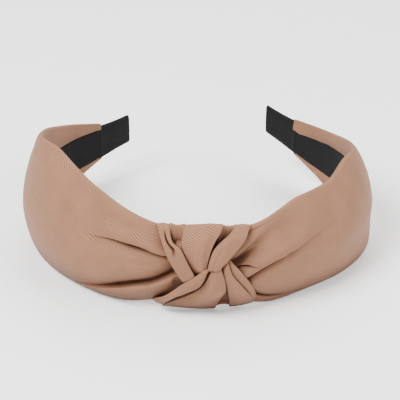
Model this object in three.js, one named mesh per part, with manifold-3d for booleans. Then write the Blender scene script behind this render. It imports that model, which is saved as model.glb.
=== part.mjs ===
// A knotted fabric headband, in millimetres, +Z up, as it lies on a table on its lower rims, with
// its knot at the front (-Y) and its two tips at the back.
//
// A springy plastic hoop runs round the head from tip to tip. A black ribbon lines its inside, and
// a black sleeve covers each tip. Two tubes of satin cover its outside: each fans out into a wide
// side panel and is gathered at the crown, where the two are knotted. The hoop bends as one piece;
// here it is cut on both sides of the knot, and a hinge at each cut stands in for the bend.
//
// Every piece is laid out along the hoop's middle line by three coordinates: s, the distance along
// the line from the crown, negative on the left; n, the distance out from the line, away from the
// head; and w, the height above it. The line lies level round the knot and the ears, and rises a
// little towards each tip.
import * as THREE from "three";
import { mergeVertices } from "three/addons/utils/BufferGeometryUtils.js";
import Module from "manifold-3d";

// The hoop's middle line, from the crown to one tip: three arcs and a straight end.
const CROWN_RADIUS = 78;
const CROWN_ANGLE = 47;
const SHOULDER_RADIUS = 52;
const SHOULDER_ANGLE = 76;
const ARM_RADIUS = 60;
const ARM_ANGLE = 14;
const TIP_STRAIGHT = 27;
const RISE_START = 128;
const LEFT_TIP_RISE = 2.2;
const RIGHT_TIP_RISE = 7.2;

// The hoop's own section. It keeps its width along the arm and tapers at the tip.
const HOOP_THICKNESS = 1.6;
const HOOP_WIDTH_CROWN = 20;
const HOOP_WIDTH_ARM = 17.8;
const HOOP_WIDTH_TIP = 12.6;
const HOOP_TAPER_START = 140;
const TIP_CORNER_RADIUS = 3;

// Ribbon and sleeves.
const LINING_THICKNESS = 0.6;
const LINING_EDGE_INSET = 0.4;
const SLEEVE_LENGTH = 18;
const SLEEVE_WALL = 0.6;

// The side panels: how far their rims stand above the hoop's line, at their shoulders and where
// they stand highest, and below it; how far they bulge out from it; and how far their rims curl in
// over the head.
const PANEL_SHOULDER_LEFT = 28;
const PANEL_TOP_LEFT = 34;
const PANEL_SHOULDER_RIGHT = 23;
const PANEL_TOP_RIGHT = 24.5;
const PANEL_BOTTOM = 20;
const PANEL_BULGE = 5;
const TOP_RIM_CURL = 5;
const BOTTOM_RIM_CURL = 0;
const RIM_FOLD_RADIUS = 0.9;
const PANEL_SPREAD = 24;
const PANEL_HIGHEST_AT = 84;
const PANEL_WIDE_END = 112;
const PANEL_FULLNESS = 2.5;
const PANEL_END_MARGIN = 3;
const PANEL_END_BULGE = 3;
const PANEL_END_FULLNESS = 6;

// The knot, between its two ends along the hoop.
const KNOT_LEFT_END = 20;
const KNOT_RIGHT_END = 24;
const KNOT_TOP = 20;
const KNOT_BOTTOM = 20;
const KNOT_BULGE = 11;
const KNOT_END_BULGE = 6;
const KNOT_RIM_CURL = 0.5;
const KNOT_FOLD_GAP = 0.4;

// Clearances: between touching pieces, and across each cut where a hinge stands in.
const GAP = 0.3;
const FLEX_GAP = 1.2;

const STATION_STEP = 7;
const HALF = 0.5;
const REACH = 40;

const HOOP_FACE = HOOP_THICKNESS * HALF;
const FLAT_OF_FOLD = Math.sin(THREE.MathUtils.degToRad(60));
const LINING_BACK = -HOOP_FACE - GAP;

// The hoop's line as stretches, each with a length along which the heading turns.
const STRETCHES = [
  [CROWN_RADIUS, CROWN_ANGLE],
  [SHOULDER_RADIUS, SHOULDER_ANGLE],
  [ARM_RADIUS, ARM_ANGLE],
].map(([radius, degrees]) => ({ radius, length: radius * THREE.MathUtils.degToRad(degrees) }));
const CURVED_LENGTH = STRETCHES.reduce((sum, stretch) => sum + stretch.length, 0);
const TIP = CURVED_LENGTH + TIP_STRAIGHT;
const SLEEVE_START = TIP - SLEEVE_LENGTH;
const PANEL_END = SLEEVE_START - GAP;

const SATIN_COLOUR = 0xbd9a85;
const RIBBON_COLOUR = 0x242325;
const PLASTIC_COLOUR = 0x141416;

// The hoop's line at distance s from the crown: where it is, and which way it heads.
function hoopLine(s) {
  const at = { x: 0, y: 0, heading: 0 };
  let left = Math.abs(s);
  for (const { radius, length } of STRETCHES) {
    const end = at.heading + Math.min(left, length) / radius;
    at.x += radius * (Math.sin(end) - Math.sin(at.heading));
    at.y += radius * (Math.cos(at.heading) - Math.cos(end));
    at.heading = end;
    left = Math.max(0, left - length);
  }
  at.x += left * Math.cos(at.heading);
  at.y += left * Math.sin(at.heading);
  return at;
}

// How far the line has risen at s.
function rise(s) {
  const highest = s < 0 ? LEFT_TIP_RISE : RIGHT_TIP_RISE;
  return highest * Math.max(0, (Math.abs(s) - RISE_START) / (TIP - RISE_START)) ** 1.5;
}

// The point at (s, n, w).
function place(s, n, w) {
  const { x, y, heading } = hoopLine(s);
  const side = s < 0 ? -1 : 1;
  const across = side * (x + n * Math.sin(heading));
  return new THREE.Vector3(across, y - n * Math.cos(heading), w + rise(s));
}

// A value eased through keys, each of them [place, value], in order of place.
function eased(keys, at) {
  const next = keys.findIndex(([key]) => key >= at);
  if (next < 0) return keys.at(-1)[1];
  if (next === 0) return keys[0][1];
  const [start, from] = keys[next - 1];
  const [end, to] = keys[next];
  return THREE.MathUtils.lerp(from, to, THREE.MathUtils.smoothstep(at, start, end));
}

// Stations from a to b, no further apart than the step.
function stations(a, b, step = STATION_STEP) {
  const count = Math.ceil(Math.abs(b - a) / step);
  return Array.from({ length: count + 1 }, (_, i) => a + ((b - a) * i) / count);
}

// Half the width of the hoop at s. Its corners are rounded at the tip.
function hoopHalfWidth(s) {
  const at = Math.abs(s);
  const keys = [[0, HOOP_WIDTH_CROWN], [HOOP_TAPER_START, HOOP_WIDTH_ARM], [TIP, HOOP_WIDTH_TIP]];
  const width = eased(keys, at);
  const into = THREE.MathUtils.clamp(at - TIP + TIP_CORNER_RADIUS, 0, TIP_CORNER_RADIUS);
  return width * HALF - TIP_CORNER_RADIUS + Math.sqrt(TIP_CORNER_RADIUS ** 2 - into ** 2);
}

// Faces with their corners wound so that they point out of the solid they close.
function closed(points, faces) {
  const volume = faces.reduce((sum, [a, b, c]) => {
    return sum + points[a].dot(new THREE.Vector3().crossVectors(points[b], points[c]));
  }, 0);
  const index = faces.flatMap(([a, b, c]) => (volume < 0 ? [a, c, b] : [a, b, c]));
  return new THREE.BufferGeometry().setFromPoints(points).setIndex(index);
}

// A closed solid through a section of [n, w] corners, anticlockwise, at each station along the
// hoop's line.
function loft(along, sectionAt) {
  const sections = along.map(sectionAt);
  const points = along.flatMap((s, i) => sections[i].map(([n, w]) => place(s, n, w)));
  const size = sections[0].length;
  const faces = [];
  for (let a = 0; a < points.length - size; a++) {
    const b = (a + 1) % size === 0 ? a + 1 - size : a + 1;
    faces.push([a, b, b + size], [a, b + size, a + size]);
  }
  const cap = (section) => {
    return THREE.ShapeUtils.triangulateShape(section.map(([n, w]) => new THREE.Vector2(n, w)), []);
  };
  const end = points.length - size;
  faces.push(...cap(sections[0]).map((face) => face.toReversed()));
  faces.push(...cap(sections.at(-1)).map((face) => face.map((corner) => corner + end)));
  return closed(points, faces);
}

// Boolean join and cut.
const wasm = await Module();
wasm.setup();

function solid(geometry) {
  const bare = geometry.clone().deleteAttribute("normal").deleteAttribute("uv");
  const merged = mergeVertices(bare);
  const mesh = new wasm.Mesh({
    numProp: 3,
    vertProperties: new Float32Array(merged.attributes.position.array),
    triVerts: new Uint32Array(merged.index.array),
  });
  return new wasm.Manifold(mesh);
}

function geometryOf(manifold) {
  const mesh = manifold.getMesh();
  const geometry = new THREE.BufferGeometry();
  geometry.setAttribute("position", new THREE.BufferAttribute(mesh.vertProperties, 3));
  return geometry.setIndex(new THREE.BufferAttribute(mesh.triVerts, 1));
}

function cut(geometry, ...tools) {
  return geometryOf(tools.reduce((rest, tool) => rest.subtract(solid(tool)), solid(geometry)));
}

// A cover's section at s: it wraps the hoop's outer face and both its edges, bulges out between
// two rims, and the rims curl in over the head. Its inner face is open where the hoop lies.
function coverSection(s, { top, bottom, bulge, topCurl, bottomCurl, fullness = 2 }) {
  const edge = hoopHalfWidth(s) + GAP;
  const outside = [-0.8, -0.5, 0, 0.5, 0.8].map((u) => {
    const [curl, rim] = u < 0 ? [bottomCurl, bottom] : [topCurl, top];
    return [bulge - (bulge + curl) * Math.abs(u) ** fullness, u * rim];
  });
  const fold = (rim, curl, side) => [15, 60, 120, 165].map((degrees) => {
    const angle = THREE.MathUtils.degToRad(degrees);
    const n = RIM_FOLD_RADIUS * (Math.cos(angle) - 1) - curl;
    return [n, side * (rim + RIM_FOLD_RADIUS * (Math.sin(angle) - FLAT_OF_FOLD))];
  });
  return [
    [-HOOP_FACE, -edge],
    ...fold(bottom, bottomCurl, -1).toReversed(),
    ...outside,
    ...fold(top, topCurl, 1),
    [-HOOP_FACE, edge],
    [HOOP_FACE + GAP, edge],
    [HOOP_FACE + GAP, -edge],
  ];
}

// A flat strip's section at s, between two distances n, its edges inset from the hoop's.
function stripSection(s, outer, inner, inset) {
  const edge = hoopHalfWidth(s) - inset;
  return [[inner, -edge], [outer, -edge], [outer, edge], [inner, edge]];
}

function hoopPiece(a, b) {
  return loft(stations(a, b), (s) => stripSection(s, HOOP_FACE, -HOOP_FACE, 0));
}

function liningPiece(a, b) {
  const face = LINING_BACK - LINING_THICKNESS;
  return loft(stations(a, b), (s) => stripSection(s, LINING_BACK, face, LINING_EDGE_INSET));
}

// One arm of the hoop, whose tip has rounded corners.
function hoopArm(side, start) {
  const corner = TIP - TIP_CORNER_RADIUS;
  const round = [15, 35, 60, 90].map((degrees) => {
    return corner + TIP_CORNER_RADIUS * Math.sin(THREE.MathUtils.degToRad(degrees));
  });
  const along = [...stations(start, corner), ...round].map((s) => side * s);
  return loft(along, (s) => stripSection(s, HOOP_FACE, -HOOP_FACE, 0));
}

// A sleeve pulled over a tip: a pocket closed at its end, following the hoop's edges.
function tipSleeve(side) {
  const wrap = (start, end, clearance) => loft(
    stations(start, end, 2).map((s) => side * s),
    (s) => {
      const edge = hoopHalfWidth(Math.min(Math.abs(s), TIP - TIP_CORNER_RADIUS * HALF)) + clearance;
      const face = HOOP_FACE + clearance;
      return [[-face, -edge], [face, -edge], [face, edge], [-face, edge]];
    },
  );
  const outside = wrap(SLEEVE_START, TIP + GAP + SLEEVE_WALL, GAP + SLEEVE_WALL);
  return cut(outside, wrap(SLEEVE_START - 1, TIP + GAP, GAP));
}

// One side panel: gathered in at the knot, widest over the ear, drawn in to the sleeve.
function sidePanel(side, start, shoulder, highest) {
  const spread = start + PANEL_SPREAD;
  const endHeight = hoopHalfWidth(PANEL_END) + PANEL_END_MARGIN;
  const over = (atKnot, wide, atEnd, widest = wide) => (s) => {
    const middle = [[spread, wide], [PANEL_HIGHEST_AT, widest], [PANEL_WIDE_END, wide]];
    return eased([[start, atKnot], ...middle, [PANEL_END, atEnd]], Math.abs(s));
  };
  const top = over(KNOT_TOP, shoulder, endHeight, highest);
  const bottom = over(KNOT_BOTTOM, PANEL_BOTTOM, endHeight);
  const bulge = over(KNOT_END_BULGE, PANEL_BULGE, PANEL_END_BULGE);
  const topCurl = over(KNOT_RIM_CURL, TOP_RIM_CURL, 0);
  const bottomCurl = over(KNOT_RIM_CURL, BOTTOM_RIM_CURL, 0);
  const fullness = over(2, PANEL_FULLNESS, PANEL_END_FULLNESS);
  const along = stations(start, PANEL_END).map((s) => side * s);
  return loft(along, (s) => {
    const rims = { top: top(s), bottom: bottom(s), topCurl: topCurl(s), bottomCurl: bottomCurl(s) };
    return coverSection(s, { ...rims, bulge: bulge(s), fullness: fullness(s) });
  });
}

// The whole knot as one cushion, before its folds part it.
function knotCushion() {
  return loft(stations(-KNOT_LEFT_END, KNOT_RIGHT_END, 4), (s) => {
    const end = s < 0 ? KNOT_LEFT_END : KNOT_RIGHT_END;
    const bulge = eased([[0, KNOT_BULGE], [end, KNOT_END_BULGE]], Math.abs(s));
    return coverSection(s, {
      top: KNOT_TOP,
      bottom: KNOT_BOTTOM,
      topCurl: KNOT_RIM_CURL,
      bottomCurl: KNOT_RIM_CURL,
      bulge,
    });
  });
}

// One fold of the knot: the part of the cushion behind an outline of [x, w] corners, parted from
// its neighbours along every edge.
function knotFold(outline) {
  const deep = { depth: REACH * 2, bevelEnabled: false };
  const shape = new THREE.Shape(outline.map(([x, w]) => new THREE.Vector2(x, w)));
  const block = new THREE.ExtrudeGeometry(shape, deep).rotateX(Math.PI * HALF).translate(0, REACH, 0);
  const partings = outline.map(([x, w], i) => {
    const [nextX, nextW] = outline[(i + 1) % outline.length];
    const length = Math.hypot(nextX - x, nextW - w) + KNOT_FOLD_GAP;
    return new THREE.BoxGeometry(length, REACH * 2, KNOT_FOLD_GAP)
      .rotateY(-Math.atan2(nextW - w, nextX - x))
      .translate((x + nextX) * HALF, 0, (w + nextW) * HALF);
  });
  return cut(geometryOf(solid(knotCushion()).intersect(solid(block))), ...partings);
}

// The outlines of the knot's folds, as [x, w] corners. They meet at the pinch, where the two tubes
// interlock. Between the upper and lower folds each panel's gathered end runs in under them.
function knotOutlines() {
  const pinch = [4, 4];
  const [left, right] = [-KNOT_LEFT_END - 1, KNOT_RIGHT_END + 1];
  const [over, under] = [KNOT_TOP + 5, -KNOT_BOTTOM - 5];
  const [leftNotch, leftTop, leftFoot] = [[-6, 1], [left, 16], [left, -13]];
  const [rightNotch, rightTop, rightFoot] = [[11, 6], [right, 17], [right, -13]];
  const topMiddle = [10, over];
  const [footLeft, footRight] = [[-7, under], [11, under]];
  return {
    knot_upper_left_fold: [leftTop, leftNotch, pinch, topMiddle, [left, over]],
    knot_upper_right_fold: [pinch, rightNotch, rightTop, [right, over], topMiddle],
    knot_lower_left_fold: [leftNotch, leftFoot, [left, under], footLeft, pinch],
    knot_lower_centre_fold: [pinch, footLeft, footRight],
    knot_lower_right_fold: [pinch, footRight, [right, under], rightFoot, rightNotch],
    knot_left_gather: [leftNotch, leftTop, leftFoot],
    knot_right_gather: [rightNotch, rightFoot, rightTop],
  };
}

function finish(name, color, roughness) {
  return new THREE.MeshStandardMaterial({ name, color, roughness, metalness: 0 });
}

function satin() {
  return finish("satin", SATIN_COLOUR, 0.45);
}

function ribbon() {
  return finish("ribbon", RIBBON_COLOUR, 0.8);
}

function plastic() {
  return finish("plastic", PLASTIC_COLOUR, 0.4);
}

function part(name, geometry, material) {
  const mesh = new THREE.Mesh(geometry, material);
  mesh.name = name;
  return mesh;
}

function crown() {
  const [a, b] = [-KNOT_LEFT_END, KNOT_RIGHT_END];
  const folds = Object.entries(knotOutlines());
  return [
    part("hoop_crown", hoopPiece(a, b), plastic()),
    part("lining_crown", liningPiece(a, b), ribbon()),
    ...folds.map(([name, outline]) => part(name, knotFold(outline), satin())),
  ];
}

function arm(name, side, knotEnd, shoulder, highest) {
  const start = knotEnd + FLEX_GAP;
  return [
    part(`hoop_arm_${name}`, hoopArm(side, start), plastic()),
    part(`lining_${name}`, liningPiece(side * start, side * PANEL_END), ribbon()),
    part(`panel_${name}`, sidePanel(side, start, shoulder, highest), satin()),
    part(`tip_sleeve_${name}`, tipSleeve(side), ribbon()),
  ];
}

// The headband, moved so that the origin is under the middle of it, on the table.
const headband = new THREE.Group();
headband.name = "knotted_headband";
headband.add(
  ...crown(),
  ...arm("left", -1, KNOT_LEFT_END, PANEL_SHOULDER_LEFT, PANEL_TOP_LEFT),
  ...arm("right", 1, KNOT_RIGHT_END, PANEL_SHOULDER_RIGHT, PANEL_TOP_RIGHT),
);
const bounds = new THREE.Box3().setFromObject(headband);
const middle = bounds.getCenter(new THREE.Vector3());
headband.children.forEach((mesh) => mesh.geometry.translate(-middle.x, -middle.y, -bounds.min.z));

export default headband;
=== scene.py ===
"""The knotted headband's looks: satin cloth gathered into a knot over the hoop, black ribbon
lining and tip sleeves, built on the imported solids. Lengths below are in millimetres unless a
name says otherwise, and every soft piece is laid out along the hoop's middle line by three
coordinates: s, the distance along the line from the crown, negative on the left; n, the distance
out from the line; and w, the height above it."""
import math

import bpy
import numpy as np
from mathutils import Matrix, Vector, noise


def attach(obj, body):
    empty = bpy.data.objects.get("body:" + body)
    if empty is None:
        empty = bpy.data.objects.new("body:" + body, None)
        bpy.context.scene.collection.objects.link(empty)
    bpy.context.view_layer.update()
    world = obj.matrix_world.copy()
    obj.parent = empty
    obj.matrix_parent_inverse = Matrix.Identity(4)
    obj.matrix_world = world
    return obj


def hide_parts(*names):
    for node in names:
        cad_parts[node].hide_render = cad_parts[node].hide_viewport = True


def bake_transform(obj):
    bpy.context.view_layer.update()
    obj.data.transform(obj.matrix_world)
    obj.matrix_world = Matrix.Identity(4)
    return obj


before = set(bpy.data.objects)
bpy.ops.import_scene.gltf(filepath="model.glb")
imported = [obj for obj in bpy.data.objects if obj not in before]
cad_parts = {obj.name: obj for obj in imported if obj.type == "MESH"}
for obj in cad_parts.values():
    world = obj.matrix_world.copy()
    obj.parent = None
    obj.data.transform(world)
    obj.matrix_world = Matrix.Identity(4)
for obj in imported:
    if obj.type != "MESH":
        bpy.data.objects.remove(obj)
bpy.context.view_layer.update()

MM = 0.001
UV_PER_MM = 0.1

# The hoop's middle line: [radius, degrees] arcs from the crown, then a straight tip.
ARCS = [(78.0, 47.0), (52.0, 76.0), (60.0, 14.0)]
TIP_STRAIGHT = 27.0
CROWN_AT = (0.0161, -54.5316, 20.0)
HOOP_FACE = 0.8
HOOP_WIDTH_CROWN, HOOP_WIDTH_ARM, HOOP_WIDTH_TIP = 20.0, 17.8, 12.6
HOOP_TAPER_START = 140.0
RISE_START = 128.0
LEFT_TIP_RISE, RIGHT_TIP_RISE = 2.2, 7.2
TIP = sum(r * math.radians(a) for r, a in ARCS) + TIP_STRAIGHT
REST_W = -20.0

# The ribbon sleeve on each tip: its length, how far its edges stand past the hoop's and its faces
# past the hoop's middle, and how far from its end it starts to close.
SLEEVE_LENGTH = 18.0
SLEEVE_START = TIP - SLEEVE_LENGTH
SLEEVE_EDGE, SLEEVE_FACE, SLEEVE_CLOSE = 0.8, 1.3, 1.15

# Where the cloth's facing ends under the lining: in from the hoop's edge, and behind the hoop.
FACING_INSET, FACING_GAP = 1.4, 0.25

# Where a panel starts inside the knot, and how far the panels and the lining run on inside the
# sleeve.
PANEL_START = -2.0
PANEL_IN_SLEEVE, LINING_IN_SLEEVE = 1.2, 0.8

# A panel's grid: columns over its face, steps round a rim and over the facing behind it, and rows
# that are close together as far as the pleats run.
FACE_COLUMNS, ROLL_STEPS, FACING_STEPS = 190, 10, 16
ROLL_TURN = 165
PLEATS_END = 52
PLEATED_STEP, PLAIN_STEP = 0.45, 1.0
LINING_FRONT, LINING_BACK = 21, 11


# ---------------------------------------------------------------- shape helpers

def hoop_line(s):
    """x, y and heading of the hoop's line at distances s from the crown."""
    left = np.abs(np.asarray(s, float))
    x = np.zeros_like(left)
    y = np.zeros_like(left)
    heading = np.zeros_like(left)
    for radius, degrees in ARCS:
        run = np.minimum(left, radius * math.radians(degrees))
        end = heading + run / radius
        x += radius * (np.sin(end) - np.sin(heading))
        y += radius * (np.cos(heading) - np.cos(end))
        heading = end
        left = left - run
    return x + left * np.cos(heading), y + left * np.sin(heading), heading


def rise(s):
    """How far the hoop's line has risen at s."""
    highest = np.where(s < 0, LEFT_TIP_RISE, RIGHT_TIP_RISE)
    return highest * np.clip((np.abs(s) - RISE_START) / (TIP - RISE_START), 0, None) ** 1.5


def place(s, n, w):
    """Points of the frame, in metres, at (s, n, w)."""
    s, n, w = np.broadcast_arrays(np.asarray(s, float), n, w)
    x, y, heading = hoop_line(s)
    side = np.where(s < 0, -1.0, 1.0)
    across = side * (x + n * np.sin(heading))
    out = np.stack([across, y - n * np.cos(heading), w + rise(s)], -1)
    return (out + np.array(CROWN_AT)) * MM


def spline(keys, at):
    """Smooth values through keys, each (place, value or vector), held flat past both ends."""
    t = np.array([k[0] for k in keys], float)
    v = np.array([k[1] for k in keys], float)
    if v.ndim == 1:
        v = v[:, None]
    slopes = np.diff(v, axis=0) / np.diff(t)[:, None]
    m = np.vstack([slopes[:1], (slopes[:-1] + slopes[1:]) / 2, slopes[-1:]])
    flat = slopes[:-1] * slopes[1:] <= 0
    if v.shape[1] == 1:
        m[1:-1][flat] = 0
    at = np.clip(np.asarray(at, float), t[0], t[-1])
    i = np.clip(np.searchsorted(t, at, side="right") - 1, 0, len(t) - 2)
    h = (t[i + 1] - t[i])
    u = ((at - t[i]) / h)[..., None]
    h = h[..., None]
    out = ((2 * u**3 - 3 * u**2 + 1) * v[i] + (u**3 - 2 * u**2 + u) * h * m[i]
           + (3 * u**2 - 2 * u**3) * v[i + 1] + (u**3 - u**2) * h * m[i + 1])
    return out[..., 0] if v.shape[1] == 1 else out


def smooth(x, low, high):
    """0 below low, 1 above high, eased between."""
    t = np.clip((np.asarray(x, float) - low) / (high - low), 0, 1)
    return t * t * (3 - 2 * t)


def ripple(a, b, seed, scale):
    """Soft noise over two coordinates in millimetres, about -1 to 1."""
    a, b = np.broadcast_arrays(np.asarray(a, float), np.asarray(b, float))
    flat = [noise.noise(Vector((p / scale, q / scale, seed))) for p, q in zip(a.ravel(), b.ravel())]
    return np.array(flat).reshape(a.shape)


def hoop_half(s):
    """Half the hoop's width at s."""
    at = np.abs(s)
    width = HOOP_WIDTH_CROWN + (HOOP_WIDTH_ARM - HOOP_WIDTH_CROWN) * smooth(at, 0, HOOP_TAPER_START)
    return (width + (HOOP_WIDTH_TIP - HOOP_WIDTH_ARM) * smooth(at, HOOP_TAPER_START, TIP)) / 2


def grid_object(name, points, uv, material, close_across=False):
    """A mesh through a grid of points, rows by columns, with its coordinates in uv (mm)."""
    rows, cols = points.shape[:2]
    index = np.arange(rows * cols).reshape(rows, cols)
    right = np.roll(index, -1, axis=1) if close_across else index[:, 1:]
    left = index if close_across else index[:, :-1]
    quads = np.stack([left[:-1], right[:-1], right[1:], left[1:]], -1).reshape(-1, 4)
    mesh = bpy.data.meshes.new(name)
    mesh.from_pydata(points.reshape(-1, 3).tolist(), [], quads.tolist())
    layer = mesh.uv_layers.new(name="UVMap")
    loops = np.zeros(len(mesh.loops), int)
    mesh.loops.foreach_get("vertex_index", loops)
    layer.data.foreach_set("uv", (uv.reshape(-1, 2)[loops] * UV_PER_MM).ravel())
    mesh.polygons.foreach_set("use_smooth", [True] * len(mesh.polygons))
    mesh.materials.append(material)
    mesh.update()
    made = bpy.data.objects.new(name, mesh)
    bpy.context.scene.collection.objects.link(made)
    return made


def arc_lengths(points, axis):
    """Running length in millimetres along one axis of a grid of points."""
    step = np.linalg.norm(np.diff(points, axis=axis), axis=-1) / MM
    zero = np.zeros_like(np.take(step, [0], axis=axis))
    return np.concatenate([zero, np.cumsum(step, axis=axis)], axis=axis)


def turned(u, v, degrees):
    """Coordinates u and v turned by some degrees, which sets the way the weave runs."""
    c, s = math.cos(math.radians(degrees)), math.sin(math.radians(degrees))
    return np.stack([u * c - v * s, u * s + v * c], -1)


# ---------------------------------------------------------------- side panels

# What shapes a panel's section: the rims' heights; how far the face bulges; how far each rim lies
# in from the line; how square the face is toward each rim; how far the upper facing comes out
# over the lining; and the radius that the rims roll to.
SECTION_KEYS = ("top", "bottom", "bulge", "top_curl", "bottom_curl", "top_full", "bottom_full",
                "top_lap", "roll")


def section(s, keys, face_columns):
    """One cloth tube's section at every s: columns run from the lining's lower edge, round the
    lower rim, up the outer face, round the upper rim and back to the lining's upper edge.
    Returns n, w and the face's own height coordinate u, -1 to 1, of each column."""
    s = np.asarray(s, float)[:, None]
    at = np.abs(s[:, 0]) * np.sign(s[:, 0] * s[-1, 0])
    top, bottom, bulge, top_curl, bottom_curl, top_full, bottom_full, top_lap, roll = (
        spline(keys[key], at)[:, None] for key in SECTION_KEYS)
    u = np.linspace(-1, 1, face_columns)[None, :]
    rim = np.where(u < 0, bottom, top)
    curl = np.where(u < 0, bottom_curl, top_curl)
    face_n = bulge - (bulge + curl) * np.abs(u) ** np.where(u < 0, bottom_full, top_full)
    face_w = u * rim

    def edge(sign, rim_w, rim_curl, full, lap):
        """The rim's roll and the facing behind it, from the face's end inwards."""
        run_n = -full * (bulge + rim_curl)
        run_w = rim_w
        size = np.hypot(run_n, run_w)
        dn, dw = run_n / size, run_w / size
        a = np.linspace(0, 1, ROLL_STEPS + 1)[None, 1:] * math.radians(ROLL_TURN)
        centre_n = -rim_curl - roll * dw
        centre_w = rim_w + roll * dn
        roll_n = centre_n + roll * (dw * np.cos(a) + dn * np.sin(a))
        roll_w = centre_w + roll * (-dn * np.cos(a) + dw * np.sin(a))
        end_n, end_w = roll_n[:, -1:], roll_w[:, -1:]
        seat_w = hoop_half(s) - FACING_INSET - lap
        seat_n = -HOOP_FACE - FACING_GAP - 1.1 * smooth(lap, 0, FACING_INSET)
        t = np.linspace(0, 1, FACING_STEPS + 1)[None, 1:]
        blend = t * t * (3 - 2 * t)
        back_w = end_w + (seat_w - end_w) * t
        back_n = end_n + (seat_n - end_n) * (0.5 * t + 0.5 * blend)
        back_n = back_n - 0.5 * np.sin(math.pi * t) * smooth(end_w - seat_w, 1, 8)
        return (np.concatenate([roll_n, back_n], 1), sign * np.concatenate([roll_w, back_w], 1))

    top_n, top_w = edge(1, top, top_curl, top_full, top_lap)
    low_n, low_w = edge(-1, bottom, bottom_curl, bottom_full, 0 * top_lap)
    n = np.concatenate([low_n[:, ::-1], face_n, top_n], 1)
    w = np.concatenate([low_w[:, ::-1], face_w, top_w], 1)
    over = np.concatenate([np.full(low_n.shape, -1.0), np.broadcast_to(u, face_n.shape),
                           np.full(top_n.shape, 1.0)], 1)
    return n, w, over


def crease(s, w, path, above, below, strength):
    """A pleat along a path of (s, w) keys. Above and below are each (depth, reach, power): how deep
    the cloth dips at the path on that side, how far from it the dip reaches, and how sharply."""
    side = abs(s)
    d = w - spline(path, side)

    def dip(distance, depth, reach, power):
        return -depth * (1 - np.clip(distance / reach, 0, 1)) ** power

    step = smooth(d, -0.12, 0.12)
    both = step * dip(np.abs(d), *above) + (1 - step) * dip(np.abs(d), *below)
    return spline(strength, side) * both


def valley(s, w, path, depth, width, start, end, fade):
    """A soft dip along a path of (s, w) keys. It comes in at start and fades out toward end."""
    side = abs(s)
    d = (w - spline(path, side)) / spline(width, side)
    strength = smooth(side, start, start + 2) * (1 - smooth(side, end - fade, end))
    return -depth * strength * np.exp(-d * d)


def panel_stations(inner, outer, side):
    """A panel's rows: distances along the hoop's line, closest together where the pleats are."""
    near = np.arange(inner, PLEATS_END, PLEATED_STEP)
    far = np.arange(PLEATS_END, outer, PLAIN_STEP)
    return side * np.concatenate([near, far, [outer]])


def side_panel(name, side, keys, pleats, material, grain, seed):
    """A side panel, from inside the knot to inside the tip's sleeve."""
    s = panel_stations(PANEL_START, SLEEVE_START + PANEL_IN_SLEEVE, side)
    at = np.abs(s) * np.where(s * side < 0, -1, 1)
    n, w, over = section(s, keys, FACE_COLUMNS)
    grid_s = np.broadcast_to(s[:, None], n.shape)
    face = 1 - smooth(np.abs(over), 0.93, 1.0)
    n = n + face * pleats(np.broadcast_to(at[:, None], n.shape), w)
    covers_hoop = face * (1 - smooth(np.abs(w) - hoop_half(s)[:, None], 0.4, 1.4))
    n = np.where(covers_hoop > 0, np.maximum(n, HOOP_FACE + 0.5 - 3 * (1 - covers_hoop)), n)
    loose = smooth(at, 15, 60)[:, None] * (1 - smooth(at, 135, 152))[:, None]
    n = n + face * loose * 0.55 * ripple(grid_s, w * 1.4, seed, 21)
    n = n + face * 0.16 * ripple(grid_s, w * 1.6, seed + 3, 7)
    edge_wave = 0.5 * ripple(s, 0 * s, seed + 9, 17)[:, None]
    w = w + edge_wave * np.sign(over) * smooth(np.abs(over), 0.5, 1.0) * loose
    w = np.maximum(w, REST_W - rise(grid_s))
    points = place(grid_s, n, w)
    across = arc_lengths(points, 1)
    across = across - across[:, [across.shape[1] // 2]]
    uv = turned(grid_s, across, grain)
    return grid_object(name, points, uv, material)


# Each run of keys is (distance from the crown, value).
LEFT_KEYS = {
    "top": [(-3, 16), (16, 19), (44, 27.5), (78, 34), (104, 28.5), (118, 25), (160, 9)],
    "bottom": [(-3, 14), (14, 15.5), (34, 19), (110, 19), (160, 8)],
    "bulge": [(-3, 3), (26, 6.5), (45, 6.5), (110, 4.5), (160, 1.5)],
    "top_curl": [(-3, 1), (20, 0.5), (74, 6.5), (102, 2.5), (122, 3), (154, 0.5)],
    "bottom_curl": [(-3, 2), (20, 0), (74, -0.5), (100, -2), (130, 0)],
    "top_full": [(-3, 2), (80, 2), (98, 1.6), (130, 2.2), (160, 4)],
    "bottom_full": [(-3, 2), (60, 2.2), (100, 1.7), (130, 2), (160, 4)],
    "top_lap": [(0, 0), (152, 0), (158, 0.4)],
    "roll": [(-3, 0.9), (20, 1.0), (60, 1.3), (120, 1.2), (150, 0.7), (159, 0.5)],
}
RIGHT_KEYS = {
    "top": [(-3, 16), (24, 18), (46, 24), (66, 23), (86, 26), (110, 21), (160, 9)],
    "bottom": [(-3, 14), (16, 16), (32, 19), (110, 19), (160, 8)],
    "bulge": [(-3, 3), (26, 6), (45, 6), (110, 4.5), (160, 1.5)],
    "top_curl": [(-3, 1), (20, 0.5), (78, 5.5), (106, 2.5), (122, 2.5), (154, 0.5)],
    "bottom_curl": [(-3, 2), (26, -1), (46, 0), (70, -2), (100, -5), (130, 0)],
    "top_full": [(-3, 2), (130, 2.4), (160, 4)],
    "bottom_full": [(-3, 2), (60, 2.4), (103, 3), (130, 2.4), (160, 4)],
    "top_lap": [(0, 0), (122, 0), (132, 0.3), (142, 0.8), (150, 1.5), (154, 2.0), (157, 1.4)],
    "roll": LEFT_KEYS["roll"],
}


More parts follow.
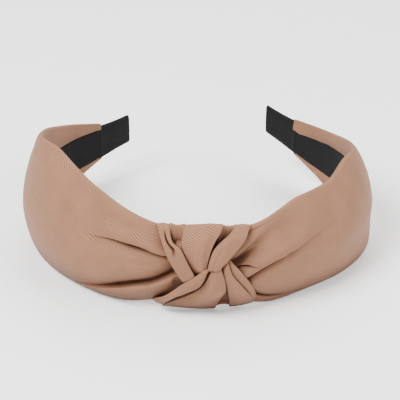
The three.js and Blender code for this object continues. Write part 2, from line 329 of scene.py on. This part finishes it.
def left_pleats(s, w):
    """The left panel's pleats, which run out of the knot and fade across the panel."""
    upper = [(0, 7.2), (12.5, 8.0), (16, 8.7), (21, 10.5), (27, 11.5), (33, 12.1), (45, 11.4)]
    lower = [(0, 2), (9.4, -0.6), (12.2, -2.2), (18, -5.4), (26, -8.4), (34.5, -11.8),
             (46, -15.6), (58, -18)]
    lip = [(0, 9.6), (12.5, 10.4), (21, 13), (33, 14.4), (45, 12.6)]
    belly = [(0, 1), (14, -5), (20, -8.5), (30, -14), (46, -18)]
    n = crease(s, w, upper, (0.5, 1.2, 2), (4.2, 5.0, 1.35),
               [(10, 0.45), (16, 0.55), (21, 0.9), (25, 1), (29, 0.75), (36, 0.28), (44, 0.08),
                (50, 0)])
    n = n + crease(s, w, lower, (4.6, 8.0, 1.7), (0.6, 1.4, 2),
                   [(8, 1), (16, 0.9), (22, 1), (30, 1), (36, 0.7), (44, 0.3), (54, 0.08), (62, 0)])
    n = n - valley(s, w, lip, 1.0, [(0, 2), (45, 3)], 8, 45, 24)
    n = n - valley(s, w, belly, 0.7, [(0, 2), (60, 3)], 8, 56, 30)
    shoulder = [(0, 9), (20, 15), (45, 21), (70, 24)]
    n = n + valley(s, w, shoulder, 0.8, [(0, 1.2), (40, 3), (70, 4)], 4, 64, 34)
    middle = [(0, 3.8), (30, 3.4), (50, 2)]
    n = n + valley(s, w, middle, 0.35, [(0, 0.7), (50, 2)], 8, 46, 26)
    return n


def right_pleats(s, w):
    """The right panel's pleats."""
    long_fold = [(0, -8), (14, -5.5), (19.1, -2.5), (22.7, -0.2), (27.4, 2.2), (37.7, 5.5),
                 (51.4, 9.8), (62, 11.5)]
    foot_fold = [(0, -7), (18, -9), (22, -12), (26, -14.4), (31.9, -16.4), (42, -17.8), (52, -18.4)]
    hollow = [(0, 1), (14, 4.6), (20, 8.4), (30, 13), (45, 17)]
    curl = [(0, 1), (13, 1.2), (15.4, 3.0), (18, 3.6), (21, 3.0), (24, 1.6)]
    n = crease(s, w, long_fold, (0.5, 1.2, 2), (3.4, 5.0, 1.8),
               [(10, 1), (24, 1), (32, 0.75), (40, 0.42), (50, 0.18), (64, 0)])
    lip = [(14, -2.8), (22, 3), (28, 5.4), (40, 8.6), (60, 13)]
    n = n - valley(s, w, lip, 1.0, [(10, 1.6), (60, 3)], 8, 58, 30)
    n = n + valley(s, w, [(30, 2), (50, 8), (64, 12)], 0.5, [(30, 3), (64, 5)], 34, 84, 30)
    n = n + crease(s, w, foot_fold, (2.2, 3.6, 1.6), (0.5, 1.2, 2),
                   [(8, 1), (24, 1), (32, 0.6), (42, 0.2), (50, 0)])
    n = n + valley(s, w, hollow, 3.4, [(0, 1.4), (14, 1.5), (20, 2), (28, 3.4), (45, 5)], 4, 54, 40)
    n = n + crease(s, w, curl, (0.2, 1, 2), (2.2, 1.8, 1.5), [(10, 1), (17, 1), (21, 0.5), (25, 0)])
    n = n + crease(s, w, [(0, 13), (18, 15.6), (24, 17.2), (30, 19)], (0.2, 1, 2), (1.0, 2.4, 1.8),
                   [(6, 1), (22, 0.8), (32, 0)])
    return n


# ---------------------------------------------------------------- the knot's folds

def chord_spline(points, at):
    """A smooth curve through points, with `at` 0 to 1 of its chord length."""
    points = np.array(points, float)
    run = np.concatenate([[0], np.cumsum(np.linalg.norm(np.diff(points, axis=0), axis=1))])
    return spline(list(zip(run / run[-1], points)), at)


def unit(v):
    """Vectors along the last axis, at length 1."""
    return v / np.maximum(np.linalg.norm(v, axis=-1, keepdims=True), 1e-9)


# Width and length, laid out flat, of each strap by name.
PLY_CUTS = {}


def edge_sizes(wide, roll, tuck):
    """The roll and the tuck that a strap this wide has room for."""
    return np.minimum(roll, wide * 0.3), np.minimum(tuck, wide * 0.45)


def ply_cut(a, b, roll, tuck):
    """Width and length of a strap laid out flat: its face, the half turn rolled round each edge
    and what is tucked in behind."""
    wide = np.linalg.norm(b - a, axis=1)
    r, reach = edge_sizes(wide, roll, tuck)
    width = (wide - 2 * r + 2 * math.pi * r + 2 * reach).mean()
    length = np.linalg.norm(np.diff((a + b) / 2, axis=0), axis=1).sum()
    return float(width), float(length)


def strap(name, left, right, crown, material, grain, roll=0.7, tuck=2.6, ridges=(), seed=0.0):
    """A strap of folded cloth between two edges, each a run of (s, w, n) points. It stands `crown`
    proud along its middle, and its edges roll under and tuck in behind it."""
    rows, face = 110, 40
    t = np.linspace(0, 1, rows)
    a, b = chord_spline(left, t), chord_spline(right, t)
    PLY_CUTS[name] = ply_cut(a, b, roll, tuck)
    across = unit(b - a)[:, None]
    along = unit(np.gradient((a + b) / 2, axis=0))[:, None]
    out = unit(np.cross(across, along))
    middle = rows // 2
    if out[middle, 0, 2] < 0:
        out = -out
    v = np.linspace(-1, 1, face)[None, :, None]
    wide = np.linalg.norm(b - a, axis=1)[:, None, None]
    r, reach = edge_sizes(wide, roll, tuck)
    start = a[:, None] + across * r
    end = b[:, None] - across * r
    lift = spline(crown, t)[:, None, None] * np.clip(1 - v * v, 0, 1) ** 1.4
    for where, height, width in ridges:
        centre = spline(where, t)[:, None, None]
        bump = np.exp(-((v - centre) / width) ** 2) * (1 - v ** 6)
        lift = lift + spline(height, t)[:, None, None] * bump
    body = start + (end - start) * (v + 1) / 2 + out * lift
    angle = np.linspace(0, math.pi, 12)[None, 1:, None]
    hook = np.sin(angle) * r
    drop = (np.cos(angle) - 1) * r
    back = np.linspace(0, 1, 7)[None, 1:, None]

    def edge(corner, inwards):
        """The half turn round one edge and the cloth tucked in behind it."""
        turn = corner - inwards * hook + out * drop
        last = turn[:, -1:]
        return np.concatenate([turn, last + (inwards * back - out * 0.25 * back) * reach], 1)

    grid = np.concatenate([edge(start, across)[:, ::-1], body, edge(end, -across)], 1)
    soft = 0.12 * ripple(grid[..., 0], grid[..., 1], seed + 5.5, 4.5)
    grid = grid + out * soft[..., None]
    points = place(grid[..., 0], grid[..., 2], grid[..., 1])
    u, length = arc_lengths(points, 1), arc_lengths(points, 0)
    return grid_object(name, points, turned(u - u.mean(1, keepdims=True), length, grain), material)


def doubled_cut(first, second):
    """Width and length of one strip folded lengthwise into two plies."""
    (wide_a, long_a), (wide_b, long_b) = PLY_CUTS[first], PLY_CUTS[second]
    length = max(long_a, long_b)
    return (wide_a * long_a + wide_b * long_b) / length, length


def joined(kept, other):
    """Makes two plies of one strip a single piece."""
    bpy.ops.object.select_all(action="DESELECT")
    other.select_set(True)
    kept.select_set(True)
    bpy.context.view_layer.objects.active = kept
    bpy.ops.object.join()


def behind_top(s, w=19.2):
    """Where an edge that comes over the upper rim runs up behind it, from under the lining."""
    return [(s, 9.4, -1.0), (s, 12.5, -1.9), (s, 17.2, -2.3), (s, w + 0.6, -1.5),
            (s, w + 1.0, -0.2)]


def behind_foot(s, w=-18.6):
    """Where an edge that goes under the lower rim runs back up behind it to the lining."""
    return [(s, w - 1.0, 0.2), (s, w - 0.7, -1.2), (s, w + 2.2, -2.3), (s, -12.5, -1.9),
            (s, -9.4, -1.0)]


def knot_folds(watered, plain):
    """The knot's folds by their short names. Each is a strap from behind one rim to the pinch."""
    return {
        "upper_left_wide": strap(
            "knotted_cloth_upper_left_wide_fold",
            behind_top(-5.5) + [(-5.8, 17.9, 2.9), (-6.1, 14.2, 5.4), (-4.8, 10.5, 6.9),
                                (-3.0, 6.5, 7.8),
                                (-0.5, 2.3, 8.0), (1.2, -0.5, 7.2)],
            behind_top(10.4) + [(9.0, 18.2, 2.6), (6.9, 16.0, 4.9), (4.9, 12.4, 7.1),
                                (4.0, 9.0, 8.4),
                                (3.5, 6.1, 9.0), (3.6, 3.4, 8.2)],
            [(0, 0), (0.35, 0.5), (0.55, 1.6), (0.8, 1.3), (1, 0.4)], watered, 62, seed=1,
            ridges=[([(0, 0.45), (1, 0.3)], [(0, 0), (0.45, 0.25), (0.9, 0.3), (1, 0)], 0.25)]),
        "upper_left_outer": strap(
            "knotted_cloth_upper_left_outer_fold",
            behind_top(-16.4, 18.9) + [(-14.7, 16.6, 2.9), (-13.2, 13.3, 4.9), (-11.9, 10.2, 6.3),
                                       (-10.6, 7.7, 7.2), (-8.3, 3.7, 8.1), (-5.8, -1.0, 8.3),
                                       (-4.0, -4.0, 7.2)],
            behind_top(-10.8) + [(-10.2, 17.0, 3.6), (-9.2, 15.2, 5.4), (-6.4, 13.4, 7.2),
                                 (-4.8, 10.6, 8.4),
                                 (-3.5, 7.8, 9.2), (-1.0, 2.3, 9.7), (0.6, -1.2, 8.6)],
            [(0, 0), (0.4, 0.5), (0.6, 0.2), (0.8, 0.5), (1, 0.2)], plain, 25, seed=2,
            ridges=[([(0, 0.2), (0.4, 0.15), (0.55, 0.3), (0.66, -0.1), (1, 0)],
                     [(0, 0), (0.34, -0.3), (0.44, -1.3), (0.54, -1.7), (0.62, -0.9), (0.7, 0),
                      (1, 0)], 0.22)]),
        "upper_left_recess": strap(
            "knotted_cloth_upper_left_recess",
            behind_top(-11.4, 19.6) + [(-10.8, 17.0, 1.2), (-9.5, 13, 2.2), (-8.4, 10, 2.8),
                                       (-7, 7, 3.4)],
            behind_top(-4.6, 19.6) + [(-4.9, 17.4, 1.6), (-5.2, 13.5, 3.0), (-5.0, 10, 3.6),
                                      (-4.6, 7, 4.0)],
            [(0, 0), (0.5, -0.6), (1, -0.3)], plain, 40, seed=3),
        "upper_right": strap(
            "knotted_cloth_upper_right_fold",
            behind_top(14.8, 18.2) + [(12.4, 17.4, 2.3), (9.3, 15.9, 4.6), (6.0, 13.2, 6.8),
                                      (4.6, 10.4, 8.4),
                                      (3.7, 7.2, 9.8), (3.5, 5.5, 9.9), (3.9, 4.4, 8.8),
                                      (4.4, 4.4, 7.2)],
            behind_top(21.6, 17.7) + [(20.3, 17.6, 1.6), (18.0, 15.0, 4.8), (14.5, 12.0, 7.2),
                                      (10.8, 8.6, 9.2),
                                      (8.7, 6.6, 10.2), (8.2, 5.2, 10.0), (8.1, 4.4, 8.9),
                                      (8.0, 4.4, 7.2)],
            [(0, 0), (0.35, 0.4), (0.6, 0.7), (0.85, 0.5), (1, 0)], plain, -35, seed=4,
            ridges=[([(0, -0.3), (1, -0.35)], [(0, 0), (0.55, 0.15), (0.75, -0.45), (0.95, -0.2),
                                               (1, 0)], 0.2)]),
        "upper_right_recess": strap(
            "knotted_cloth_upper_right_recess",
            behind_top(9, 19.0) + [(8.2, 16.6, 0.9), (6.8, 13, 2.2), (5.5, 10, 3.4)],
            behind_top(16.4, 18.4) + [(14.2, 16, 1.0), (11.2, 13, 2.4), (9, 10, 3.6)],
            [(0, 0), (0.6, -0.5), (1, -0.3)], plain, 20, seed=5),
        "lower_left": strap(
            "knotted_cloth_lower_left_fold",
            [(5.6, 5.4, 8.2), (3.6, 5.9, 9.6), (-0.6, 2.6, 10.3), (-5.7, -2.2, 9.5),
             (-11.2, -8.9, 6.9),
             (-13.7, -11.4, 5.6), (-17.4, -14.4, 2.8)] + behind_foot(-18.6, -15.4),
            [(5.4, 3.6, 8.0), (4.0, 4.2, 9.4), (2.6, 1.0, 10.0), (0.8, -2.8, 9.6),
             (-3.4, -6.3, 8.5),
             (-8.2, -10.2, 6.7), (-11.0, -13.2, 5.0),
             (-12.6, -15.6, 2.8)] + behind_foot(-13.4, -17.2),
            [(0, 0), (0.2, 0.5), (0.5, 0.8), (0.7, 0.4), (1, 0)], plain, 80, seed=6, tuck=2.0),
        "lower_centre": strap(
            "knotted_cloth_lower_centre_fold",
            [(5.2, 6.4, 7.6), (4.6, 4.6, 9.2), (2.4, -1.4, 8.7), (0.2, -4.8, 8.2),
             (-4.2, -8.9, 6.8),
             (-8.7, -12.4, 5.0), (-12.2, -15.6, 3.0),
             (-14.0, -17.4, 1.6)] + behind_foot(-14.6, -17.7),
            [(8.3, 6.4, 7.8), (8.6, 5.0, 9.4), (9.4, 1.6, 9.7), (10.3, -3.5, 9.0),
             (10.4, -7.4, 7.4),
             (9.2, -10.6, 5.6), (8.0, -14.5, 3.6), (7.6, -17.6, 1.6)] + behind_foot(7.4, -18.4),
            [(0, 0), (0.1, 0.6), (0.3, 1.9), (0.5, 1.7), (0.6, 0.9), (0.7, 0.3),
             (1, 0)], watered, 5, seed=7,
            ridges=[([(0, 0.1), (1, -0.2)], [(0, 0), (0.1, 0.3), (0.4, 0.2), (0.6, 0),
                                             (1, 0)], 0.25)]),
        "lower_right_under": strap(
            "knotted_cloth_lower_right_under_fold",
            [(10.2, 7.4, 7.4), (11.2, 4.6, 8.2), (13, 0, 8.2), (16, -5, 7.2), (18, -9, 5.8),
             (19.6, -14, 3.4)]
            + behind_foot(20.5, -17.0),
            [(12.0, 8.0, 7.4), (13, 6.4, 8.3), (14.8, 4.0, 8.2), (18.2, -1.5, 7.3), (21, -6.8, 6.0),
             (22.7, -11, 4.6), (23.8, -15.4, 2.2)] + behind_foot(24.2, -16.4),
            [(0, 0), (0.3, 0.3), (0.6, 0.3), (1, 0)], plain, -20, seed=8),
        "lower_right": strap(
            "knotted_cloth_lower_right_fold",
            [(8.6, 7.2, 7.4), (8.9, 5.0, 9.0), (9.9, -0.6, 9.2), (11.0, -6.9, 7.4),
             (12.0, -12.5, 5.0),
             (12.7, -17.2, 1.8)] + behind_foot(12.9, -18.2),
            [(10.6, 8.4, 7.6), (11.0, 6.6, 9.4), (12.4, 2.2, 9.6), (16.2, -4.6, 8.4),
             (19.0, -9.4, 6.7),
             (21.4, -14.2, 4.0), (22.6, -16.6, 2.0)] + behind_foot(22.9, -17.4),
            [(0, 0), (0.2, 0.5), (0.45, 0.9), (0.65, 0.4), (1, 0)], plain, 70, seed=9),
        "lower_recess": strap(
            "knotted_cloth_lower_recess",
            [(6.4, -4, 5.0), (6.2, -8, 3.4), (6.2, -13, 1.6),
             (6.4, -16.6, 0.3)] + behind_foot(6.5, -17.2),
            [(13.6, -4, 4.8), (13.6, -8, 3.2), (13.6, -13, 1.4),
             (13.6, -16.2, 0.2)] + behind_foot(13.6, -16.8),
            [(0, -0.3), (0.4, -0.6), (1, 0)], plain, 30, seed=10),
    }


# ---------------------------------------------------------------- ribbon

def lining_half(name, side, material):
    """Half the lining, from the crown to just inside the sleeve: a ribbon with soft edges."""
    end = SLEEVE_START + LINING_IN_SLEEVE
    s = side * np.concatenate([np.arange(0, end, 1.5), [end]])
    half = hoop_half(s)[:, None] - 0.45 + 0.18 * ripple(s, 0 * s, 31.0, 9)[:, None]
    v = np.concatenate([np.linspace(-1, 1, LINING_FRONT), np.linspace(1, -1, LINING_BACK)])[None, :]
    columns = LINING_FRONT + LINING_BACK
    front = (np.arange(columns) < LINING_FRONT)[None, :]
    n = np.where(front, -1.62, -1.05) + np.where(front & (np.abs(v) > 0.97), 0.3, 0)
    n = np.broadcast_to(n, (len(s), columns)).copy()
    grid_s = np.broadcast_to(s[:, None], n.shape)
    w = half * v
    stitched = 0.1 * np.exp(-((np.abs(w) - half + 1.1) / 0.35) ** 2)
    n += np.where(front, 1, 0) * (0.1 * ripple(grid_s, w, 33.0, 6) - stitched)
    points = place(grid_s, n, w)
    uv = np.stack([grid_s, arc_lengths(points, 1)], -1)
    return grid_object(name, points, uv, material, close_across=True)


def tip_sleeve(name, side, material, seed):
    """A sleeve of ribbon over a tip, hemmed where it starts and folded flat at its end."""
    inner = [(2.6, -0.45), (0.4, -0.4), (0.05, -0.1), (0.0, 0.2), (0.3, 0.42)]
    body = [(1.0, 0.42), (1.5, 0.26), (1.8, 0.1), (2.2, 0.06)]
    body += [(k, 0.04) for k in np.arange(2.8, 15.6, 1.0)]
    reach = TIP + SLEEVE_CLOSE - SLEEVE_START
    quarter = np.linspace(0, math.pi / 2, 8)
    end = [(reach - SLEEVE_CLOSE + SLEEVE_CLOSE * math.sin(a), 0.0) for a in quarter]
    rows = inner + body + end
    along = np.array([r[0] for r in rows])
    puff = np.array([r[1] for r in rows])
    close = np.clip((along - (reach - SLEEVE_CLOSE)) / SLEEVE_CLOSE, 0, 1)
    shrink = np.sqrt(np.clip(1 - close ** 2, 0.0004, 1))
    s_abs = SLEEVE_START + along
    half = hoop_half(np.minimum(s_abs, TIP - 1)) + SLEEVE_EDGE + 0.3 * puff
    thick = (SLEEVE_FACE + puff) * shrink
    half = half - (1 - shrink) * 0.7
    q = np.linspace(0, 2 * math.pi, 57)[None, :-1]
    height = np.sign(np.sin(q)) * np.abs(np.sin(q)) ** 0.6
    n = thick[:, None] * np.sign(np.cos(q)) * np.sqrt(np.clip(1 - np.abs(height) ** 7, 0, 1))
    w = half[:, None] * height
    grid_s = np.broadcast_to(side * s_abs[:, None], n.shape)
    wave = 0.14 * ripple(grid_s, w, seed, 5.5) + 0.08 * ripple(grid_s, w, seed + 2, 2.4)
    n = n + np.sign(n) * wave * smooth(along, 1, 3)[:, None] * shrink[:, None]
    points = place(grid_s, n, w)
    uv = np.stack([grid_s, arc_lengths(points, 1)], -1)
    return grid_object(name, points, uv, material, close_across=True)


# ---------------------------------------------------------------- materials

class Nodes:
    """A short way to build a material's node tree."""

    def __init__(self, name):
        self.material = bpy.data.materials.new(name)
        self.material.use_nodes = True
        self.tree = self.material.node_tree
        self.shader = self.tree.nodes["Principled BSDF"]

    def add(self, kind, sockets=None, **settings):
        """A node of this kind, with its settings and what its sockets take."""
        node = self.tree.nodes.new(kind)
        for key, value in settings.items():
            setattr(node, key, value)
        for key, value in (sockets or {}).items():
            self.feed(node, key, value)
        return node

    def feed(self, node, key, value):
        """Gives one socket a value, or a link where the value is another socket."""
        if isinstance(value, bpy.types.NodeSocket):
            self.tree.links.new(value, node.inputs[key])
        else:
            node.inputs[key].default_value = value

    def math(self, operation, a, b=0.0, c=0.0):
        return self.add("ShaderNodeMath", {0: a, 1: b, 2: c}, operation=operation).outputs[0]

    def noise(self, vector, scale, detail=2.0, rough=0.5):
        sockets = {"Vector": vector, "Scale": scale, "Detail": detail, "Roughness": rough}
        return self.add("ShaderNodeTexNoise", sockets).outputs["Fac"]

    def mix(self, fac, a, b):
        node = self.add("ShaderNodeMix", {"Factor": fac}, data_type="RGBA")
        self.feed(node, 6, a)
        self.feed(node, 7, b)
        return node.outputs[2]

    def painted_shade_mask(self, distance, shut=0.15, clear=0.75):
        """Mask for painted shade: 0 deep in a crease, 1 out in the open, read from ambient
        occlusion.
        """
        node = self.add("ShaderNodeAmbientOcclusion", {"Distance": distance}, samples=8)
        return self.add("ShaderNodeMapRange", {0: node.outputs["AO"], 1: shut, 2: clear}).outputs[0]

    def set(self, **values):
        """Feeds the main shader, with its sockets' names written with underscores."""
        for key, value in values.items():
            self.feed(self.shader, key.replace("_", " "), value)


def linear(r, g, b):
    """An sRGB colour, 0 to 255, as linear RGBA."""
    def one(c):
        c /= 255
        return c / 12.92 if c <= 0.04045 else ((c + 0.055) / 1.055) ** 2.4
    return (one(r), one(g), one(b), 1.0)


def satin_material(name, watered):
    """Satin with a fine diagonal weave, a soft sheen and painted shade in its creases. Watered,
    from
    0 up, is how strongly its wavering lines show. Periods are in UV units, UV_PER_MM to a
    millimetre."""
    line_period, warp_period, weft_period = 0.08, 0.028, 0.034
    n = Nodes(name)
    uv = n.add("ShaderNodeTexCoord").outputs["UV"]
    spot = n.add("ShaderNodeTexCoord").outputs["Object"]
    split = n.add("ShaderNodeSeparateXYZ", {0: uv})
    u, v = split.outputs[0], split.outputs[1]
    sway = n.noise(uv, 0.55, 1.0)
    drift = n.noise(uv, 1.7, 2.0)
    bent = n.math("ADD", u, n.math("MULTIPLY", sway, 0.9))
    bent = n.math("ADD", bent, n.math("MULTIPLY", drift, 0.12))
    lines = n.math("SINE", n.math("MULTIPLY", bent, 2 * math.pi / line_period))
    threads = n.math("SINE", n.math("MULTIPLY", u, 2 * math.pi / warp_period))
    weft = n.math("SINE", n.math("MULTIPLY", v, 2 * math.pi / weft_period))
    patches = {0: n.noise(uv, 0.9, 1.0), 1: 0.38, 2: 0.62, 3: 0.15, 4: 1.0}
    patch = n.add("ShaderNodeMapRange", patches).outputs[0]
    marks = n.math("MULTIPLY", n.math("MULTIPLY", lines, patch), 0.5 * watered)
    mottle = n.noise(spot, 90.0, 4.0, 0.6)
    tone = n.math("ADD", 0.5, n.math("MULTIPLY", marks, 0.75))
    tone = n.math("ADD", tone, n.math("MULTIPLY", n.math("SUBTRACT", mottle, 0.5), 0.5))
    deep, pale = linear(94, 65, 48), linear(149, 108, 84)
    # Painted shade: the colour darkens toward deep browns in creases and hollows, broadly over 14
    # mm and tightly over 4 mm.
    shaded = n.mix(n.painted_shade_mask(0.014, 0.2, 0.92), linear(88, 57, 43), n.mix(tone, deep, pale))
    colour = n.mix(n.painted_shade_mask(0.004), linear(66, 36, 26), shaded)
    height = n.math("ADD", n.math("MULTIPLY", marks, 0.35), n.math("MULTIPLY", threads, 0.12))
    height = n.math("ADD", height, n.math("MULTIPLY", weft, 0.12))
    height = n.math("ADD", height, n.math("MULTIPLY", n.noise(spot, 260.0, 3.0), 0.5))
    bump = n.add("ShaderNodeBump", {"Strength": 0.35, "Distance": 0.0002, "Height": height})
    rough = n.math("ADD", 0.56, n.math("MULTIPLY", n.math("SUBTRACT", mottle, 0.5), 0.25))
    n.set(Base_Color=colour, Roughness=rough, Normal=bump.outputs[0])
    n.set(Sheen_Weight=0.03, Sheen_Roughness=0.4, Sheen_Tint=linear(240, 214, 196))
    n.set(Specular_IOR_Level=0.16, Specular_Tint=linear(250, 226, 208))
    return n.material


def ribbon_material(name, shade, rib):
    """Black ribbon: fine ribs across it, a matt face and faint lint."""
    n = Nodes(name)
    uv = n.add("ShaderNodeTexCoord").outputs["UV"]
    spot = n.add("ShaderNodeTexCoord").outputs["Object"]
    split = n.add("ShaderNodeSeparateXYZ", {0: uv})
    ribs = n.math("SINE", n.math("MULTIPLY", split.outputs[0], 2 * math.pi / rib))
    cross = n.math("SINE", n.math("MULTIPLY", split.outputs[1], 2 * math.pi / (rib * 1.3)))
    cloud = n.noise(spot, 120.0, 4.0, 0.65)
    low, high = linear(*[c * 0.82 for c in shade]), linear(*[c * 1.22 for c in shade])
    tone = n.math("ADD", n.math("MULTIPLY", ribs, 0.05), cloud)
    height = n.math("ADD", n.math("MULTIPLY", ribs, 0.16), n.math("MULTIPLY", cross, 0.1))
    height = n.math("ADD", height, n.math("MULTIPLY", n.noise(spot, 420.0, 3.0), 0.7))
    bump = n.add("ShaderNodeBump", {"Strength": 0.4, "Distance": 0.00018, "Height": height})
    n.set(Base_Color=n.mix(tone, low, high), Roughness=0.8, Normal=bump.outputs[0])
    n.set(Sheen_Weight=0.01, Sheen_Roughness=0.5, Specular_IOR_Level=0.12)
    return n.material


def plastic_material():
    """The hoop's dark plastic, lightly scuffed."""
    n = Nodes("hoop plastic")
    spot = n.add("ShaderNodeTexCoord").outputs["Object"]
    scuff = n.noise(spot, 300.0, 4.0, 0.6)
    bump = n.add("ShaderNodeBump", {"Strength": 0.2, "Distance": 0.0001, "Height": scuff})
    rough = n.math("ADD", 0.3, n.math("MULTIPLY", scuff, 0.3))
    n.set(Base_Color=linear(26, 26, 28), Roughness=rough, Normal=bump.outputs[0])
    return n.material


def table_material():
    """The pale surface that the headband lies on."""
    n = Nodes("pale table")
    spot = n.add("ShaderNodeTexCoord").outputs["Object"]
    grain = n.noise(spot, 60.0, 3.0)
    n.set(Base_Color=n.mix(grain, linear(244, 243, 241), linear(248, 247, 246)), Roughness=0.7)
    return n.material


# ---------------------------------------------------------------- assembly

cloth = satin_material("watered satin", 1.35)
plain_cloth = satin_material("satin", 0.6)
ribbon = ribbon_material("black ribbon", (17, 17, 19), 0.06)
sleeve_ribbon = ribbon_material("black sleeve ribbon", (18, 18, 19), 0.045)
plastic = plastic_material()

for node in ("hoop_crown", "hoop_arm_left", "hoop_arm_right"):
    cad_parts[node].data.materials.clear()
    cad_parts[node].data.materials.append(plastic)


# The stretch, by side, between the crown and an arm, which flex looks up without bending anything.
FLEX_STRETCH = {-1: (12.5, 29.0), 1: (16.5, 33.0)}


def flex(obj, side):
    """Bakes a piece's placing into its mesh; it looks up that side's stretch but bends nothing."""
    inner, outer = (place(side * a, 0, 0) for a in FLEX_STRETCH[side])
    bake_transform(obj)


def one_side(side, hand, keys, pleats, satin, grain, seed):
    """One side's panel, lining and sleeve; what they replace is hidden, the sleeve given its arm's
    body.
    """
    panel = side_panel(f"cloth_panel_{hand}", side, keys, pleats, satin, grain, seed)
    flex(panel, side)
    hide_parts(f"panel_{hand}", f"knot_{hand}_gather")
    lining = lining_half(f"lining_ribbon_{hand}", side, ribbon)
    flex(lining, side)
    sleeve = tip_sleeve(f"sleeve_ribbon_{hand}", side, sleeve_ribbon, seed + 20)
    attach(sleeve, f"{hand}_arm")
    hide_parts(f"tip_sleeve_{hand}")
    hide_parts(f"lining_{hand}")
    return panel, lining, sleeve


left = one_side(-1, "left", LEFT_KEYS, left_pleats, cloth, -58, 2.0)
right = one_side(1, "right", RIGHT_KEYS, right_pleats, plain_cloth, 52, 4.0)
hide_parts("lining_crown")

# The core's middle and lean, then its half width, half height and depth.
CORE_AT, CORE_LEAN = (1.6, 2.0), -0.5
CORE_WIDE, CORE_TALL, CORE_HIGH = 10.0, 13.0, 6.8


def knot_core(name, material):
    """The bunched cloth inside the knot, which fills the space behind the crossed folds."""
    reach = np.sin(np.linspace(0, math.pi / 2, 34))[:, None]
    turn = np.linspace(0, 2 * math.pi, 49)[None]
    up = CORE_TALL * reach * np.sin(turn)
    s = CORE_AT[0] + CORE_WIDE * reach * np.cos(turn) + CORE_LEAN * up
    w = CORE_AT[1] + up
    n = HOOP_FACE + 0.2 + CORE_HIGH * (1 - reach ** 2) ** 0.33 + 0 * turn
    n = n + 0.25 * (1 - reach ** 4) * np.sin(0.9 * s + 0.55 * w)
    return grid_object(name, place(s, n, w), turned(s, w, 30), material)


core = knot_core("knotted_cloth_core", plain_cloth)
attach(core, "crown")
folds = knot_folds(cloth, plain_cloth)
under = folds.pop("lower_right_under")
PLY_CUTS[folds["lower_right"].name] = doubled_cut(folds["lower_right"].name, under.name)
joined(folds["lower_right"], under)
for made in folds.values():
    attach(made, "crown")
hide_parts("knot_upper_left_fold")
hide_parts("knot_upper_right_fold")
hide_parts("knot_lower_left_fold")
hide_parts("knot_lower_centre_fold")
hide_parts("knot_lower_right_fold")


# ---------------------------------------------------------------- each side's arm and the parts under it


for hand, (panel, lining, sleeve) in (("left", left), ("right", right)):
    arm = f"hoop_arm_{hand}"
    under = ["hoop_crown", arm]

# ---------------------------------------------------------------- table, light and camera

bpy.ops.mesh.primitive_grid_add(x_subdivisions=2, y_subdivisions=2, size=6)
table = bpy.context.object
table.name = "table"
table.data.materials.append(table_material())


LIGHT_AIM = (0, 0, 0.02)


def softbox(name, at, size, watts):
    """A rectangular light, in metres and watts, that faces the headband."""
    light = bpy.data.lights.new(name, "AREA")
    light.shape = "RECTANGLE"
    light.size, light.size_y = size
    light.energy = watts
    made = bpy.data.objects.new(name, light)
    made.location = at
    made.rotation_euler = (Vector(LIGHT_AIM) - Vector(at)).to_track_quat("-Z", "Y").to_euler()
    bpy.context.scene.collection.objects.link(made)


softbox("key", (-0.52, -0.36, 0.8), (0.5, 0.5), 25)
softbox("fill", (0.75, -0.3, 0.55), (0.6, 0.5), 12)
softbox("back", (0.1, 0.6, 0.8), (0.8, 0.5), 10)
world = bpy.data.worlds.new("studio")
world.use_nodes = True
world.node_tree.nodes["Background"].inputs[0].default_value = (1, 1, 1, 1)
world.node_tree.nodes["Background"].inputs[1].default_value = 0.4
bpy.context.scene.world = world

# The camera's distance in metres and height in degrees, and how far inside the crown it aims.
DISTANCE = 0.6
ELEVATION = 30
AIM_INSIDE = 60.0
aim = Vector(place(0.0, -AIM_INSIDE, 0.0))
camera_data = bpy.data.cameras.new("camera")
camera_data.lens = 123
camera_data.sensor_width = 36
camera_data.shift_x = 0.00625
camera_data.shift_y = -0.015
camera_data.clip_start = 0.01
camera = bpy.data.objects.new("camera", camera_data)
tilt = math.radians(ELEVATION)
camera.location = aim + Vector((0, -math.cos(tilt), math.sin(tilt))) * DISTANCE
camera.rotation_euler = (math.pi / 2 - tilt, 0, 0)
bpy.context.scene.collection.objects.link(camera)
bpy.context.scene.camera = camera
